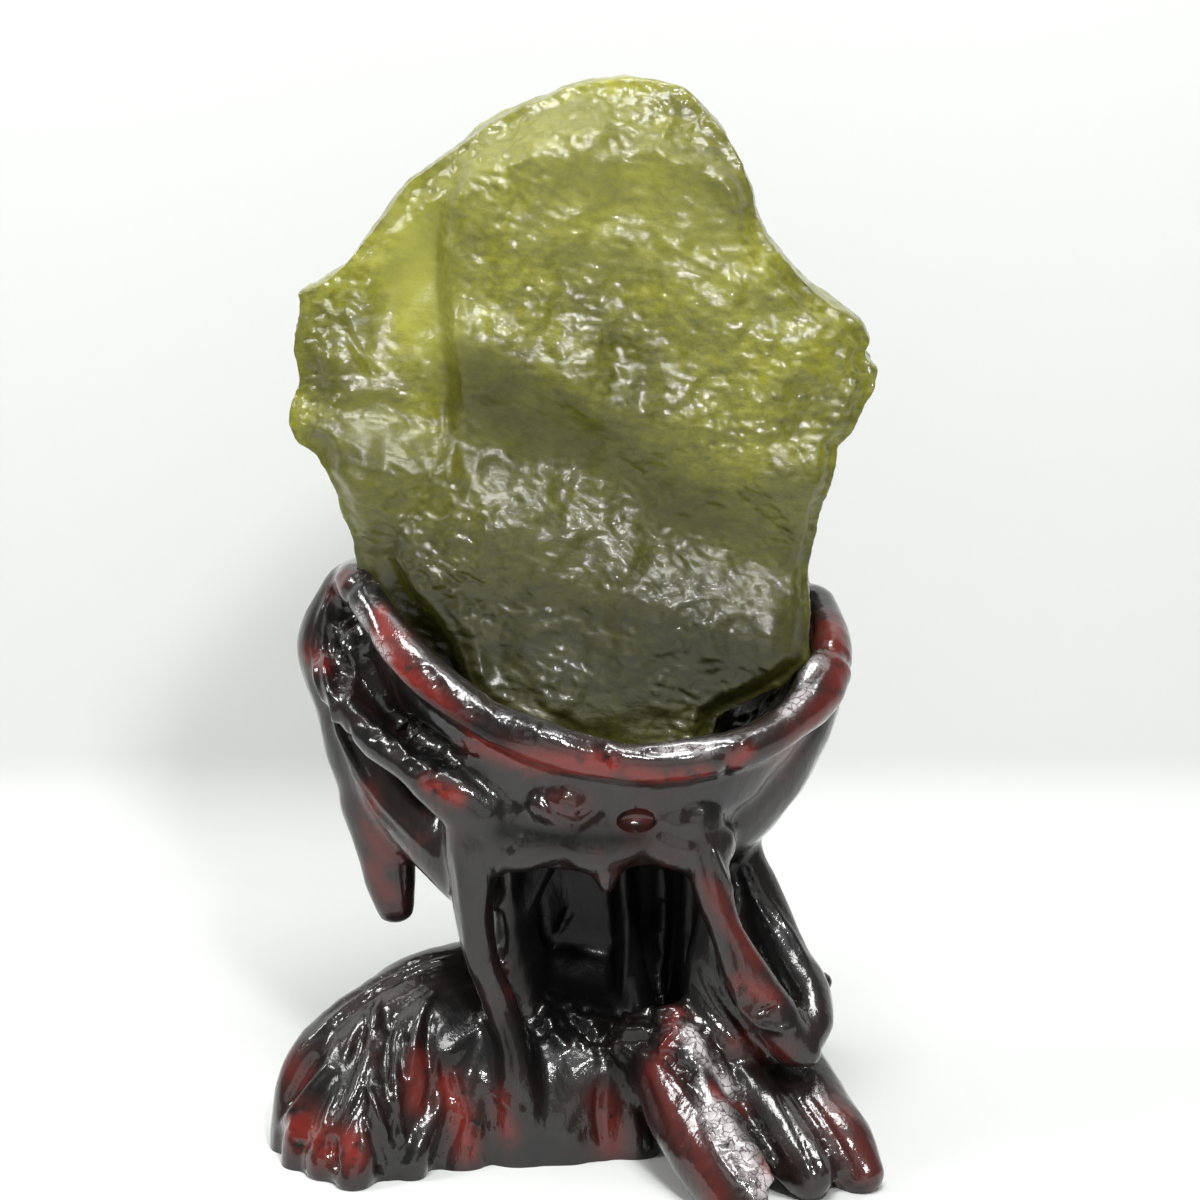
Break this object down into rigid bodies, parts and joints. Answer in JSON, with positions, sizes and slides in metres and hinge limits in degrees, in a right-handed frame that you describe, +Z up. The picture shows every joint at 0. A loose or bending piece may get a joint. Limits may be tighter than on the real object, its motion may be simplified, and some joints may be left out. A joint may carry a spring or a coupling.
{
  "type": "desert glass specimen on a root-wood stand",
  "caption": "Broken slab of olive-yellow natural desert glass, upright in the carved socket of a dark lacquered root-wood display stand.",
  "frame": {"origin": "middle of the overall box, on the floor the stand rests on", "axes": "+Z up, the thick front face of the glass and the front root towards -Y, the width along X"},
  "size_m": [0.1448, 0.1268, 0.2508],
  "materials": {
    "desert_glass": "glossy, finely hammered natural surface",
    "lacquered_root_wood": "dark red-brown lacquer, glossy"
  },
  "bodies": {
    "root": {"desert_glass": "desert_glass", "stand_cup": "lacquered_root_wood", "stand_trunk": "lacquered_root_wood", "hanging_spur": "lacquered_root_wood", "arch_root": "lacquered_root_wood", "fan_root": "lacquered_root_wood", "front_root": "lacquered_root_wood", "right_root": "lacquered_root_wood", "back_left_root": "lacquered_root_wood", "back_right_root": "lacquered_root_wood"}
  },
  "joints": []
}
